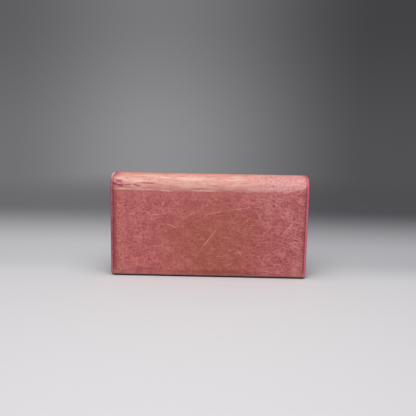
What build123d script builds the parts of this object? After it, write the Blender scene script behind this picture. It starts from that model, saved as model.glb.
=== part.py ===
"""Long flap wallet in leather, standing on its foot with the fold on top.

Frame: millimetres, +X along the width, +Z up, -Y out of the plain back. The origin is at the
middle of the foot. From back to flap the wallet is a stack of upright layers: the back cover
with eight card slots, a gusseted compartment, a zipped coin pocket, a second gusseted
compartment, and the front cover with four card slots. The flap comes over the fold and snaps
to the front cover.
"""

import os

from build123d import *

# Driving dimensions
WIDTH = 190.0  # covers, side to side
HEIGHT = 100.0  # foot to the top of the fold
THICKNESS = 29.0  # back to flap, without the snap cap

# Layers
LEATHER = 1.4  # outer leather of back, fold, flap and front
BOARD = 0.4  # stiffener between leather and lining
LINING = 0.5  # lining over the board
COVER = LEATHER + BOARD + LINING
SLIP_GAP = 0.6  # flat pockets behind the card panels
CARD_BASE = 0.6
CARD_SLOT = 0.6  # leather of one card slot
COMPARTMENT = 4.4  # free depth of a gusseted compartment
COIN_WALL = 0.7
COIN_DEPTH = 4.6
REAR_SLOT_ROWS = 4
FRONT_SLOT_ROWS = 2

# Panel outlines
FOOT_CORNER = 4.0
TOP_CORNER = 3.0
FRONT_TOP = 84.0
FLAP_CORNER = 14.0
FLAP_FOOT = 12.0  # height of the flap's lower edge
BOARD_INSET = 6.0
WAIST = 1.6  # how far each side of the cover draws in at the top of the fold
WAIST_Z = 97.0  # height at which it starts to
INNER_HALF = 92.0  # half width of the inner panels
INNER_FOOT = 1.0
CARD_TOP = 84.0
CARD_RIM = 3.0  # turned edge that joins a card panel to its cover
COIN_TOP = 76.0

# Card slots
SLOT_HALF_GAP = 0.4  # from the centre line to a column of slots
SLOT_OUTER = 89.0
SLOT_DEPTH = 52.0
SLOT_STEP = 12.0
SLOT_TOP = 81.0
SLOT_FOOT = 6.0
SLOT_CORNER = 1.5
CARD_THREAD = 0.5

# Gussets
GUSSET = 0.5  # their leather
GUSSET_TOP = 76.0
GUSSET_HEM = 2.8  # width of the sewn edge
GUSSET_FOLD = 11.0  # how far a side fold reaches in from the edge
GUSSET_BEND = 1.4  # width of the folded tip

# Seams around the covers
STITCH_MARGIN = 2.2
THREAD = 0.7
GROOVE = 0.25

# Zip
TAPE = 0.4
TAPE_DROP = 14.0
ZIP_HALF = 84.0
TOOTH_PITCH = 2.6
TOOTH_COUNT = 59
TOOTH_LENGTH = 1.3
TOOTH_HEIGHT = 1.4
TOOTH_GAP = 0.35  # from the zip's centre line to a tooth
STOP_X = 80.0
STOP_LENGTH = 2.0
STOP_LIP = 0.2

# Zip slider and puller
SLIDER_X = 73.5  # at the closed end
SLIDER_WIDE_X = 1.7  # middle of the wide end, from the slider's middle
SLIDER_NARROW_X = -2.4
SLIDER_NARROW = 0.65  # width of the narrow end, as a share of the wide one
SLIDER_PLATE = 0.8
SLIDER_PLAY = 0.15
SLIDER_POST = 0.4
LUG_LENGTH = 3.0
LUG_WIDTH = 1.3
LUG_RIM = 1.1  # from the pin's axis to the top of the lug
PIN_RISE = 1.15  # from the top plate to the pin's axis
PIN_RADIUS = 0.5
PIN_PLAY = 0.05
PULLER_LENGTH = 17.0
PULLER_WIDTH = 4.4
PULLER_THICK = 0.8
PULLER_START = 2.3  # from the pin to the blade, clear of the lug as the puller turns over
PULLER_WINDOW = 1.8
EAR = 0.6
EAR_RADIUS = 1.0
EAR_PLAY = 0.1

# Snap fastener
SNAP_Z = 26.0
CAP_RADIUS = 6.0
CAP_RISE = 0.9
SOCKET_RADIUS = 3.1
SOCKET_WALL = 0.4
SOCKET_FLANGE = 5.5
FLANGE = 0.3
STUD_RADIUS = 2.0
STUD_REACH = 2.4
STUD_CREST = 0.7
RIVET_RADIUS = 1.2
RIVET_HEAD = 4.0
RIVET_DEPTH = 1.2  # how far the rivet reaches into the stud

# Places through the stack, from the back to the flap
Y_BACK = -(THICKNESS + CAP_RISE) / 2
Y_BACK_INNER = Y_BACK + COVER
Y_REAR_BASE = Y_BACK_INNER + SLIP_GAP
Y_REAR_SLOTS = Y_REAR_BASE + CARD_BASE
Y_REAR_OPEN = Y_REAR_SLOTS + REAR_SLOT_ROWS * CARD_SLOT
Y_COIN_REAR = Y_REAR_OPEN + COMPARTMENT
Y_COIN_OPEN = Y_COIN_REAR + COIN_WALL
Y_ZIP = Y_COIN_OPEN + COIN_DEPTH / 2
Y_COIN_FRONT = Y_COIN_OPEN + COIN_DEPTH
Y_FRONT_OPEN = Y_COIN_FRONT + COIN_WALL
Y_FRONT_SLOTS = Y_FRONT_OPEN + COMPARTMENT
Y_FRONT_BASE = Y_FRONT_SLOTS + FRONT_SLOT_ROWS * CARD_SLOT
Y_FRONT_SLIP = Y_FRONT_BASE + CARD_BASE
Y_FRONT_LINING = Y_FRONT_SLIP + SLIP_GAP
Y_FRONT_BOARD = Y_FRONT_LINING + LINING
Y_FRONT_LEATHER = Y_FRONT_BOARD + BOARD
Y_FRONT_FACE = Y_FRONT_LEATHER + LEATHER
Y_FLAP_FACE = Y_BACK + THICKNESS
Y_FLAP_LEATHER = Y_FLAP_FACE - LEATHER
Y_FLAP_BOARD = Y_FLAP_LEATHER - BOARD
Y_FLAP_LINING = Y_FLAP_BOARD - LINING
Y_SOCKET_FLOOR = Y_FLAP_FACE - SOCKET_WALL

# The fold
FOLD_RADIUS = THICKNESS / 2
Y_FOLD = Y_BACK + FOLD_RADIUS
HINGE_Z = HEIGHT - FOLD_RADIUS  # both folding edges
FOLD_PLAY = 1.0  # by which the cutting shapes of the fold reach past it

# The zip
TAPE_FACE = COIN_DEPTH / 2 - TAPE  # from the zip's centre line to a tape
TOOTH_REACH = TAPE_FACE - TOOTH_GAP
TOOTH_FOOT = COIN_TOP - TOOTH_HEIGHT
SLIDER_FOOT = TOOTH_FOOT - SLIDER_PLAY
SLIDER_UNDER = COIN_TOP + SLIDER_PLAY
SLIDER_TOP = SLIDER_UNDER + SLIDER_PLATE
PIN_Z = SLIDER_TOP + PIN_RISE
EAR_INNER = LUG_WIDTH / 2 + EAR_PLAY

SIDES = ((-1, "left"), (1, "right"))

os.makedirs("parts", exist_ok=True)


def write(name, builder):
    """Labels a finished piece and writes its STEP file."""
    builder.part.label = name
    export_step(builder.part, f"parts/{name}.step")


def upright(y):
    """The plane at y that faces out of the back."""
    return Plane.XZ.offset(-y)


def layer(face, depth, mode=Mode.ADD):
    """Thickens a face on an upright plane towards the flap, in the open part."""
    extrude(face, amount=-depth, mode=mode)


def outline(y, width, low, high, low_corner=0.0, high_corner=0.0, x=0.0):
    """A panel's outline."""
    with BuildSketch(upright(y)) as face:
        with Locations((x, (low + high) / 2)):
            Rectangle(width, high - low)
        if low_corner:
            fillet(face.vertices().group_by(Axis.Y)[0], low_corner)
        if high_corner:
            fillet(face.vertices().group_by(Axis.Y)[-1], high_corner)
    return face.sketch


def cover_outline(y):
    """The back cover's outline, up to the fold."""
    return outline(y, WIDTH, 0, HINGE_Z, FOOT_CORNER)


def flap_outline(y):
    """The flap's outline, up to the fold."""
    return outline(y, WIDTH, FLAP_FOOT, HINGE_Z, FLAP_CORNER)


def front_outline(y):
    """The front cover's outline."""
    return outline(y, WIDTH, 0, FRONT_TOP, FOOT_CORNER, TOP_CORNER)


def board_outline(y, low, high, low_corner=0.0):
    """A stiffener's outline, set in from the edges of its cover."""
    width = WIDTH - 2 * BOARD_INSET
    return outline(y, width, low + BOARD_INSET, high - BOARD_INSET, low_corner)


def seam(y, low, high, low_corner, high_corner=0.0):
    """The stitch line around a cover. Without high corners it runs on over the fold."""
    top = high if high_corner else high + 2 * STITCH_MARGIN
    with BuildSketch(upright(y)) as line:
        with Locations((0, (low + top) / 2)):
            Rectangle(WIDTH, top - low)
        fillet(line.vertices().group_by(Axis.Y)[0], low_corner)
        if high_corner:
            fillet(line.vertices().group_by(Axis.Y)[-1], high_corner)
        offset(amount=-STITCH_MARGIN)
        offset(amount=-THREAD, mode=Mode.SUBTRACT)
        with Locations((0, (low + high) / 2)):
            Rectangle(WIDTH, high - low, mode=Mode.INTERSECT)
    return line.sketch


def back_seam():
    """The back cover's stitch line."""
    return seam(Y_BACK, 0, HINGE_Z, FOOT_CORNER)


def flap_seam():
    """The flap's stitch line."""
    return seam(Y_FLAP_FACE - GROOVE, FLAP_FOOT, HINGE_Z, FLAP_CORNER)


def front_seam():
    """The front cover's stitch line."""
    return seam(Y_FRONT_FACE - GROOVE, 0, FRONT_TOP, FOOT_CORNER, TOP_CORNER)


def snap_disc(y, radius):
    """A round outline at the snap."""
    with BuildSketch(upright(y)) as circle:
        with Locations((0, SNAP_Z)):
            Circle(radius)
    return circle.sketch


def fold_layer(outer, inner):
    """Half a tube around the middle of the fold, over the full width, in the open part."""
    with BuildSketch(Plane.YZ.offset(-WIDTH / 2)) as ring:
        with Locations((Y_FOLD, HINGE_Z)):
            Circle(outer)
            Circle(inner, mode=Mode.SUBTRACT)
        with Locations((Y_FOLD, HINGE_Z + outer / 2)):
            Rectangle(2 * outer, outer, mode=Mode.INTERSECT)
    extrude(ring.sketch, amount=WIDTH)


def fold_outline(inset, mode):
    """Cuts the open part along the sides of the fold, which draw in towards its top."""
    half = WIDTH / 2 - inset
    with BuildSketch(upright(Y_BACK - FOLD_PLAY)) as face:
        with BuildLine():
            below = Polyline((0, HINGE_Z - FOLD_PLAY), (half, HINGE_Z - FOLD_PLAY), (half, WAIST_Z))
            side = TangentArc(below @ 1, (half - WAIST, HEIGHT), tangent=(0, 1))
            Polyline(side @ 1, (half - WAIST, HEIGHT + FOLD_PLAY), (0, HEIGHT + FOLD_PLAY))
            mirror(about=Plane.YZ)
        make_face()
    layer(face.sketch, THICKNESS + 2 * FOLD_PLAY, mode)


# Back cover
with BuildPart() as back_panel:
    layer(cover_outline(Y_BACK), LEATHER)
    layer(back_seam(), GROOVE, Mode.SUBTRACT)
write("back_panel", back_panel)

with BuildPart() as back_thread:
    layer(back_seam(), GROOVE)
write("back_thread", back_thread)

with BuildPart() as back_board:
    layer(board_outline(Y_BACK + LEATHER, 0, HINGE_Z), BOARD)
write("back_board", back_board)

with BuildPart() as back_lining:
    layer(cover_outline(Y_BACK + LEATHER), BOARD + LINING)
    layer(board_outline(Y_BACK + LEATHER, 0, HINGE_Z), BOARD, Mode.SUBTRACT)
write("back_lining", back_lining)

# Fold
with BuildPart() as fold_thread:
    fold_layer(FOLD_RADIUS, FOLD_RADIUS - GROOVE)
    fold_outline(STITCH_MARGIN, Mode.INTERSECT)
    fold_outline(STITCH_MARGIN + THREAD, Mode.SUBTRACT)
write("fold_thread", fold_thread)

with BuildPart() as fold_leather:
    fold_layer(FOLD_RADIUS, FOLD_RADIUS - LEATHER)
    fold_outline(0, Mode.INTERSECT)
    add(fold_thread.part, mode=Mode.SUBTRACT)
write("fold_leather", fold_leather)

with BuildPart() as fold_lining:
    fold_layer(FOLD_RADIUS - LEATHER, FOLD_RADIUS - COVER)
    fold_outline(0, Mode.INTERSECT)
write("fold_lining", fold_lining)

# Flap
with BuildPart() as flap_panel:
    layer(flap_outline(Y_FLAP_LEATHER), LEATHER)
    layer(flap_seam(), GROOVE, Mode.SUBTRACT)
    layer(snap_disc(Y_FLAP_LEATHER, SOCKET_RADIUS), LEATHER, Mode.SUBTRACT)
write("flap_panel", flap_panel)

with BuildPart() as flap_thread:
    layer(flap_seam(), GROOVE)
write("flap_thread", flap_thread)

with BuildPart() as flap_board:
    layer(board_outline(Y_FLAP_BOARD, FLAP_FOOT, HINGE_Z, FLAP_CORNER), BOARD)
    layer(snap_disc(Y_FLAP_BOARD, SOCKET_RADIUS), BOARD, Mode.SUBTRACT)
write("flap_board", flap_board)

with BuildPart() as flap_lining:
    layer(flap_outline(Y_FLAP_LINING), LINING + BOARD)
    layer(board_outline(Y_FLAP_BOARD, FLAP_FOOT, HINGE_Z, FLAP_CORNER), BOARD, Mode.SUBTRACT)
    layer(snap_disc(Y_FLAP_LINING, SOCKET_RADIUS), LINING, Mode.SUBTRACT)
write("flap_lining", flap_lining)

# Front cover
with BuildPart() as front_panel:
    layer(front_outline(Y_FRONT_LEATHER), LEATHER)
    layer(front_seam(), GROOVE, Mode.SUBTRACT)
    layer(snap_disc(Y_FRONT_LEATHER, RIVET_RADIUS), LEATHER, Mode.SUBTRACT)
write("front_panel", front_panel)

with BuildPart() as front_thread:
    layer(front_seam(), GROOVE)
write("front_thread", front_thread)

with BuildPart() as front_board:
    layer(board_outline(Y_FRONT_BOARD, 0, FRONT_TOP), BOARD)
    layer(snap_disc(Y_FRONT_BOARD, RIVET_RADIUS), BOARD, Mode.SUBTRACT)
write("front_board", front_board)

with BuildPart() as front_lining:
    layer(front_outline(Y_FRONT_LINING), LINING + BOARD)
    layer(board_outline(Y_FRONT_BOARD, 0, FRONT_TOP), BOARD, Mode.SUBTRACT)
    layer(snap_disc(Y_FRONT_LINING, RIVET_RADIUS), LINING, Mode.SUBTRACT)
write("front_lining", front_lining)


# Card panels: a turned rim along the sides and foot joins each to its cover, open at the top
def card_panel(name, y, rim_y):
    """A card panel at y with its turned rim at rim_y."""
    with BuildPart() as panel:
        layer(outline(y, 2 * INNER_HALF, INNER_FOOT, CARD_TOP, high_corner=TOP_CORNER), CARD_BASE)
        layer(outline(rim_y, 2 * INNER_HALF, INNER_FOOT, CARD_TOP - TOP_CORNER), SLIP_GAP)
        pocket_width = 2 * (INNER_HALF - CARD_RIM)
        layer(outline(rim_y, pocket_width, INNER_FOOT + CARD_RIM, CARD_TOP), SLIP_GAP, Mode.SUBTRACT)
    write(name, panel)


card_panel("rear_card_panel", Y_REAR_BASE, Y_BACK_INNER)
card_panel("front_card_panel", Y_FRONT_BASE, Y_FRONT_SLIP)


# Card slots: strips whose top edges step down from row to row
def card_slot(name, y, row, side):
    """One card slot, in its row and on its side of the centre line."""
    high = SLOT_TOP - row * SLOT_STEP
    low = max(SLOT_FOOT, high - SLOT_DEPTH)
    width = SLOT_OUTER - SLOT_HALF_GAP
    middle = side * (SLOT_OUTER + SLOT_HALF_GAP) / 2
    with BuildPart() as slot:
        layer(outline(y, width, low, high, high_corner=SLOT_CORNER, x=middle), CARD_SLOT)
    write(name, slot)


for side, side_name in SIDES:
    for row in range(REAR_SLOT_ROWS):
        card_slot(f"rear_card_slot_{side_name}_{row + 1}", Y_REAR_SLOTS + row * CARD_SLOT, row, side)
    for row in range(FRONT_SLOT_ROWS):
        slot_y = Y_FRONT_BASE - (row + 1) * CARD_SLOT
        card_slot(f"front_card_slot_{side_name}_{row + 1}", slot_y, row, side)

with BuildPart() as rear_card_thread:
    layer(outline(Y_REAR_SLOTS, CARD_THREAD, SLOT_FOOT, SLOT_TOP), GROOVE)
write("rear_card_thread", rear_card_thread)

with BuildPart() as front_card_thread:
    layer(outline(Y_FRONT_BASE - GROOVE, CARD_THREAD, SLOT_FOOT, SLOT_TOP), GROOVE)
write("front_card_thread", front_card_thread)


# Gussets
def side_gusset(name, side, rear, front, high, hem_rear=0.0, hem_front=0.0):
    """A side gusset folded inwards between two panels, with a hem where a panel steps back."""
    hem = INNER_HALF - GUSSET_HEM
    tip = INNER_HALF - GUSSET_FOLD
    middle = (rear + front) / 2
    fold = [
        (INNER_HALF, rear),
        (INNER_HALF, rear + GUSSET),
        (tip + GUSSET_BEND, middle),
        (INNER_HALF, front - GUSSET),
        (INNER_HALF, front),
        (hem, front),
        (tip, middle),
        (hem, rear),
    ]
    with BuildPart() as gusset:
        with BuildSketch(Plane.XY.offset(INNER_FOOT + GUSSET)):
            with BuildLine():
                Polyline(*[(side * x, y) for x, y in fold], close=True)
            make_face()
            if hem_front > hem_rear:
                with Locations((side * (INNER_HALF + hem) / 2, (hem_rear + hem_front) / 2)):
                    Rectangle(GUSSET_HEM, hem_front - hem_rear)
        extrude(amount=high - INNER_FOOT - GUSSET)
    write(name, gusset)


def foot_gusset(name, rear, front):
    """The strip that closes a compartment at the foot, under its side gussets."""
    with BuildPart() as strip:
        with BuildSketch(Plane.XY.offset(INNER_FOOT)):
            with Locations((0, (rear + front) / 2)):
                Rectangle(2 * INNER_HALF, front - rear)
        extrude(amount=GUSSET)
    write(name, strip)


for side, side_name in SIDES:
    rear_name = f"rear_gusset_{side_name}"
    side_gusset(rear_name, side, Y_REAR_OPEN, Y_COIN_REAR, GUSSET_TOP, Y_REAR_SLOTS, Y_REAR_OPEN)
    front_name = f"front_gusset_{side_name}"
    side_gusset(front_name, side, Y_FRONT_OPEN, Y_FRONT_SLOTS, GUSSET_TOP, Y_FRONT_SLOTS, Y_FRONT_BASE)
    side_gusset(f"coin_gusset_{side_name}", side, Y_COIN_OPEN, Y_COIN_FRONT, COIN_TOP - TAPE_DROP)
foot_gusset("rear_gusset_foot", Y_REAR_SLOTS, Y_COIN_REAR)
foot_gusset("front_gusset_foot", Y_FRONT_OPEN, Y_FRONT_BASE)
foot_gusset("coin_gusset_foot", Y_COIN_OPEN, Y_COIN_FRONT)


# Coin pocket
def coin_wall(name, y):
    """One of the coin pocket's two walls."""
    with BuildPart() as wall:
        layer(outline(y, 2 * INNER_HALF, INNER_FOOT, COIN_TOP, high_corner=TOP_CORNER), COIN_WALL)
    write(name, wall)


def zip_side(place, side):
    """One tape with its row of teeth, half a pitch out of step with the other row."""
    tape_middle = Y_ZIP + side * (TAPE_FACE + TAPE / 2)
    with BuildPart() as tape:
        layer(outline(tape_middle - TAPE / 2, 2 * ZIP_HALF, COIN_TOP - TAPE_DROP, COIN_TOP), TAPE)
    write(f"zip_tape_{place}", tape)

    with BuildPart() as teeth:
        with BuildSketch(Plane.XY.offset(TOOTH_FOOT)):
            with Locations((side * TOOTH_PITCH / 4, Y_ZIP + side * (TOOTH_GAP + TOOTH_REACH / 2))):
                with GridLocations(TOOTH_PITCH, 1, TOOTH_COUNT, 1):
                    Rectangle(TOOTH_LENGTH, TOOTH_REACH)
        extrude(amount=TOOTH_HEIGHT)
    write(f"zip_teeth_{place}", teeth)


def zip_stop(name, x):
    """A metal stop across both rows of teeth."""
    with BuildPart() as stop:
        with BuildSketch(Plane.XY.offset(TOOTH_FOOT - STOP_LIP)):
            with Locations((x, Y_ZIP)):
                Rectangle(STOP_LENGTH, 2 * TAPE_FACE)
        extrude(amount=TOOTH_HEIGHT + 2 * STOP_LIP)
    write(name, stop)


coin_wall("coin_wall_rear", Y_COIN_REAR)
coin_wall("coin_wall_front", Y_COIN_FRONT)
zip_side("rear", -1)
zip_side("front", 1)
zip_stop("zip_top_stop", STOP_X)
zip_stop("zip_bottom_stop", -STOP_X)


def slider_plate(z, half_width):
    """A slider plate's outline, wide at the end that leads when the zip closes."""
    with BuildSketch(Plane.XY.offset(z)) as plate:
        with Locations((SLIDER_X + SLIDER_WIDE_X, Y_ZIP)):
            Circle(half_width)
        with Locations((SLIDER_X + SLIDER_NARROW_X, Y_ZIP)):
            Circle(half_width * SLIDER_NARROW)
        make_hull()
    return plate.sketch


# Zip slider: two plates, a post between the rows of teeth, and a lug with the puller's pin hole
with BuildPart() as zip_slider:
    extrude(slider_plate(SLIDER_UNDER, COIN_DEPTH / 2), amount=SLIDER_PLATE)
    extrude(slider_plate(SLIDER_FOOT, TAPE_FACE - SLIDER_PLAY), amount=-SLIDER_PLATE)
    with BuildSketch(Plane.XY.offset(SLIDER_FOOT)):
        with Locations((SLIDER_X, Y_ZIP)):
            Rectangle(LUG_LENGTH, SLIDER_POST)
    extrude(amount=SLIDER_UNDER - SLIDER_FOOT)
    with BuildSketch(upright(Y_ZIP - LUG_WIDTH / 2)) as lug:
        with Locations((SLIDER_X, (SLIDER_TOP + PIN_Z + LUG_RIM) / 2)):
            Rectangle(LUG_LENGTH, PIN_RISE + LUG_RIM)
        fillet(lug.vertices().group_by(Axis.Y)[-1], EAR_RADIUS)
        with Locations((SLIDER_X, PIN_Z)):
            Circle(PIN_RADIUS + PIN_PLAY, mode=Mode.SUBTRACT)
    extrude(amount=-LUG_WIDTH)
write("zip_slider", zip_slider)

# Puller: a bladed fork whose pin runs through the slider's lug
with BuildPart() as zip_puller:
    with BuildSketch(Plane.XY.offset(PIN_Z - PULLER_THICK / 2)) as blade:
        with Locations((SLIDER_X - (PULLER_LENGTH + PULLER_START) / 2, Y_ZIP)):
            Rectangle(PULLER_LENGTH - PULLER_START, PULLER_WIDTH)
        fillet(blade.vertices().group_by(Axis.X)[0], PULLER_WIDTH / 2 - PIN_PLAY)
        with Locations((SLIDER_X - PULLER_LENGTH + PULLER_WIDTH, Y_ZIP)):
            SlotOverall(PULLER_WIDTH, PULLER_WINDOW, mode=Mode.SUBTRACT)
    extrude(amount=PULLER_THICK)
    for ear_y in (Y_ZIP - EAR_INNER - EAR, Y_ZIP + EAR_INNER):
        with BuildSketch(upright(ear_y)):
            with Locations((SLIDER_X, PIN_Z)):
                Circle(EAR_RADIUS)
            with Locations((SLIDER_X - (PULLER_START + EAR_RADIUS) / 2, PIN_Z)):
                Rectangle(PULLER_START + EAR_RADIUS, PULLER_THICK)
        extrude(amount=-EAR)
    with BuildSketch(upright(Y_ZIP - EAR_INNER)):
        with Locations((SLIDER_X, PIN_Z)):
            Circle(PIN_RADIUS)
    extrude(amount=-2 * EAR_INNER)
write("zip_puller", zip_puller)

# Snap fastener: cap and socket on the flap, stud and rivet on the front cover
with BuildPart() as snap_cap:
    layer(snap_disc(Y_FLAP_FACE, CAP_RADIUS), CAP_RISE)
    fillet(snap_cap.faces().sort_by(Axis.Y)[-1].edges(), CAP_RISE * 0.8)
    layer(snap_disc(Y_SOCKET_FLOOR, RIVET_RADIUS), SOCKET_WALL)
write("snap_cap", snap_cap)

with BuildPart() as snap_socket:
    layer(snap_disc(Y_FLAP_LINING, SOCKET_RADIUS), COVER)
    layer(snap_disc(Y_FLAP_LINING - FLANGE, SOCKET_FLANGE), FLANGE)
    cup_depth = COVER + FLANGE - SOCKET_WALL
    layer(snap_disc(Y_FLAP_LINING - FLANGE, SOCKET_RADIUS - SOCKET_WALL), cup_depth, Mode.SUBTRACT)
    layer(snap_disc(Y_SOCKET_FLOOR, RIVET_RADIUS), SOCKET_WALL, Mode.SUBTRACT)
write("snap_socket", snap_socket)

with BuildPart() as snap_stud:
    layer(snap_disc(Y_FRONT_FACE, SOCKET_FLANGE), FLANGE)
    layer(snap_disc(Y_FRONT_FACE, STUD_RADIUS), STUD_REACH)
    fillet(snap_stud.faces().sort_by(Axis.Y)[-1].edges(), STUD_CREST)
    layer(snap_disc(Y_FRONT_FACE, RIVET_RADIUS), RIVET_DEPTH, Mode.SUBTRACT)
write("snap_stud", snap_stud)

with BuildPart() as snap_rivet:
    layer(snap_disc(Y_FRONT_LINING - FLANGE, RIVET_HEAD), FLANGE)
    layer(snap_disc(Y_FRONT_LINING, RIVET_RADIUS), COVER + RIVET_DEPTH)
write("snap_rivet", snap_rivet)
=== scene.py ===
"""The looks of a long flap wallet in worn rose leather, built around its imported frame.

Lengths are in metres, +X along the width, +Z up and -Y out of the plain back. A sheet is
described by u across it, v along it and depth inwards from the face that shows, and a place
function puts these into the frame.
"""

import math

import bpy
import numpy as np
from mathutils import Matrix, Vector


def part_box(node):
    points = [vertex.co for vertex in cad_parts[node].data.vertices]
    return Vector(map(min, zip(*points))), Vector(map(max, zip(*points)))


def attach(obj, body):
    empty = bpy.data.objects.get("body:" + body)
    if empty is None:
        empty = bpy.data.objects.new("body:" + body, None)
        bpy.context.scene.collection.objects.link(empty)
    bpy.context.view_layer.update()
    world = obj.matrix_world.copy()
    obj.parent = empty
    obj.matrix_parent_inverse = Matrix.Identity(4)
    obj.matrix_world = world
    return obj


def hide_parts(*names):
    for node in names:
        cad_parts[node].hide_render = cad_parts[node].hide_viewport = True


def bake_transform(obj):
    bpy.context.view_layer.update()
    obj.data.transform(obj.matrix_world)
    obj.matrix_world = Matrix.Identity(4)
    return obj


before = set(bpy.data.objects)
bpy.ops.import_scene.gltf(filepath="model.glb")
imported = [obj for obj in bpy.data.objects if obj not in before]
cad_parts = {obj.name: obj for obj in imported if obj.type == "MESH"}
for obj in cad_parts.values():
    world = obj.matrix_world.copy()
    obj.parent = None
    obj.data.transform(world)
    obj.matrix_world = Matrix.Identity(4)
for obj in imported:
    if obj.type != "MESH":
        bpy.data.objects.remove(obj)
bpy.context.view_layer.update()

MM = 0.001
X, Y, Z = 0, 1, 2


def low(node, axis):
    """A CAD node's lowest coordinate."""
    return float(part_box(node)[0][axis])


def high(node, axis):
    """A CAD node's highest coordinate."""
    return float(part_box(node)[1][axis])


def thickness(node):
    """A CAD node's size along Y."""
    return high(node, Y) - low(node, Y)


def centre(node, axis):
    """The middle of a CAD node."""
    return (low(node, axis) + high(node, axis)) / 2


def side_of(node, facing):
    """Where a CAD node's face towards -Y (facing -1) or +Y (facing 1) lies."""
    return high(node, Y) if facing > 0 else low(node, Y)


# Sizes of the cover, read from the frame
HALF = high("back_panel", X)
Y_BACK = low("back_panel", Y)
HINGE_Z = high("back_panel", Z)
LEATHER = thickness("back_panel")
BOARD = thickness("back_board")
COVER = high("back_lining", Y) - Y_BACK
Y_FLAP = high("flap_panel", Y)
FOLD_RADIUS = (Y_FLAP - Y_BACK) / 2
Y_FOLD = (Y_FLAP + Y_BACK) / 2
FLAP_START = HINGE_Z + math.pi * FOLD_RADIUS
FLAP_END = FLAP_START + HINGE_Z - low("flap_panel", Z)
COVER_SPLIT = HINGE_Z + 0.8 * math.pi * FOLD_RADIUS  # on the side of the fold that faces the flap
BEND = 3.0 * MM  # length of leather at each hinge that would bend; dress leaves the pieces unbent
FOOT_CORNER = 4.0 * MM
FLAP_CORNER = 14.0 * MM
BOARD_INSET = low("back_board", Z)
WAIST = 1.6 * MM  # how far each side of the cover draws in, along an arc, at the top of the fold
WAIST_Z = 97.0 * MM  # height at which it starts to
WAIST_RADIUS = (WAIST**2 + (HINGE_Z + FOLD_RADIUS - WAIST_Z) ** 2) / (2 * WAIST)

# Sewing
SEAM_WIDTH = 0.7 * MM
STITCH_INSET = HALF - high("fold_thread", X) + SEAM_WIDTH / 2
STITCH_PITCH = 2.9 * MM
STITCH_LENGTH = 2.1 * MM
STITCH_RADIUS = 0.24 * MM
STITCH_LIFT = 0.12 * MM


# Shapes


def smooth(value, start, end):
    """0 before start, 1 after end, and a smooth rise between them."""
    t = np.clip((value - start) / (end - start), 0, 1)
    return t * t * (3 - 2 * t)


def ripple(u, v, size, seed):
    """A soft random relief, from -1 to 1, whose waves are about size long."""
    draw = np.random.default_rng(seed)
    total = np.zeros(np.broadcast(u, v).shape)
    for _ in range(7):
        turn = draw.uniform(0, math.tau)
        wave = math.tau / (size * draw.uniform(0.7, 1.9))
        total = total + np.sin((u * math.cos(turn) + v * math.sin(turn)) * wave + draw.uniform(0, math.tau))
    return total / 7


def cover_place(u, v, depth):
    """The cover: v runs up the back, over the fold and down the flap."""
    turn = np.clip((v - HINGE_Z) / FOLD_RADIUS, 0, math.pi)
    radius = FOLD_RADIUS - depth
    y = Y_FOLD - radius * np.cos(turn)
    z = HINGE_Z + radius * np.sin(turn) + np.minimum(v - HINGE_Z, 0) - np.maximum(v - FLAP_START, 0)
    return np.stack([u + 0 * y, y, z], -1)


def waist(v):
    """How far each side of the cover is drawn in at v."""
    turn = np.clip((v - HINGE_Z) / FOLD_RADIUS, 0, math.pi)
    above = np.maximum(HINGE_Z + FOLD_RADIUS * np.sin(turn) - WAIST_Z, 0)
    return WAIST_RADIUS - np.sqrt(WAIST_RADIUS**2 - above**2)


def flat_place(x, y, facing):
    """An upright sheet at y whose face shows towards -Y (facing -1) or +Y (facing 1)."""

    def place(u, v, depth):
        return np.stack([x - facing * u + 0 * depth, y - facing * depth + 0 * u, v + 0 * depth], -1)

    return place


def paced(start, end, step, fine):
    """Values from start to end about step apart, and closer in each fine (first, last, pace)."""
    stretches, at = [], start
    for first, last, pace in fine:
        stretches += [(at, first, step), (first, last, pace)]
        at = last
    parts = [
        np.linspace(first, last, max(1, round((last - first) / pace)) + 1)[:-1]
        for first, last, pace in stretches + [(at, end, step)]
        if last > first
    ]
    return np.append(np.concatenate(parts), end)


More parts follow.
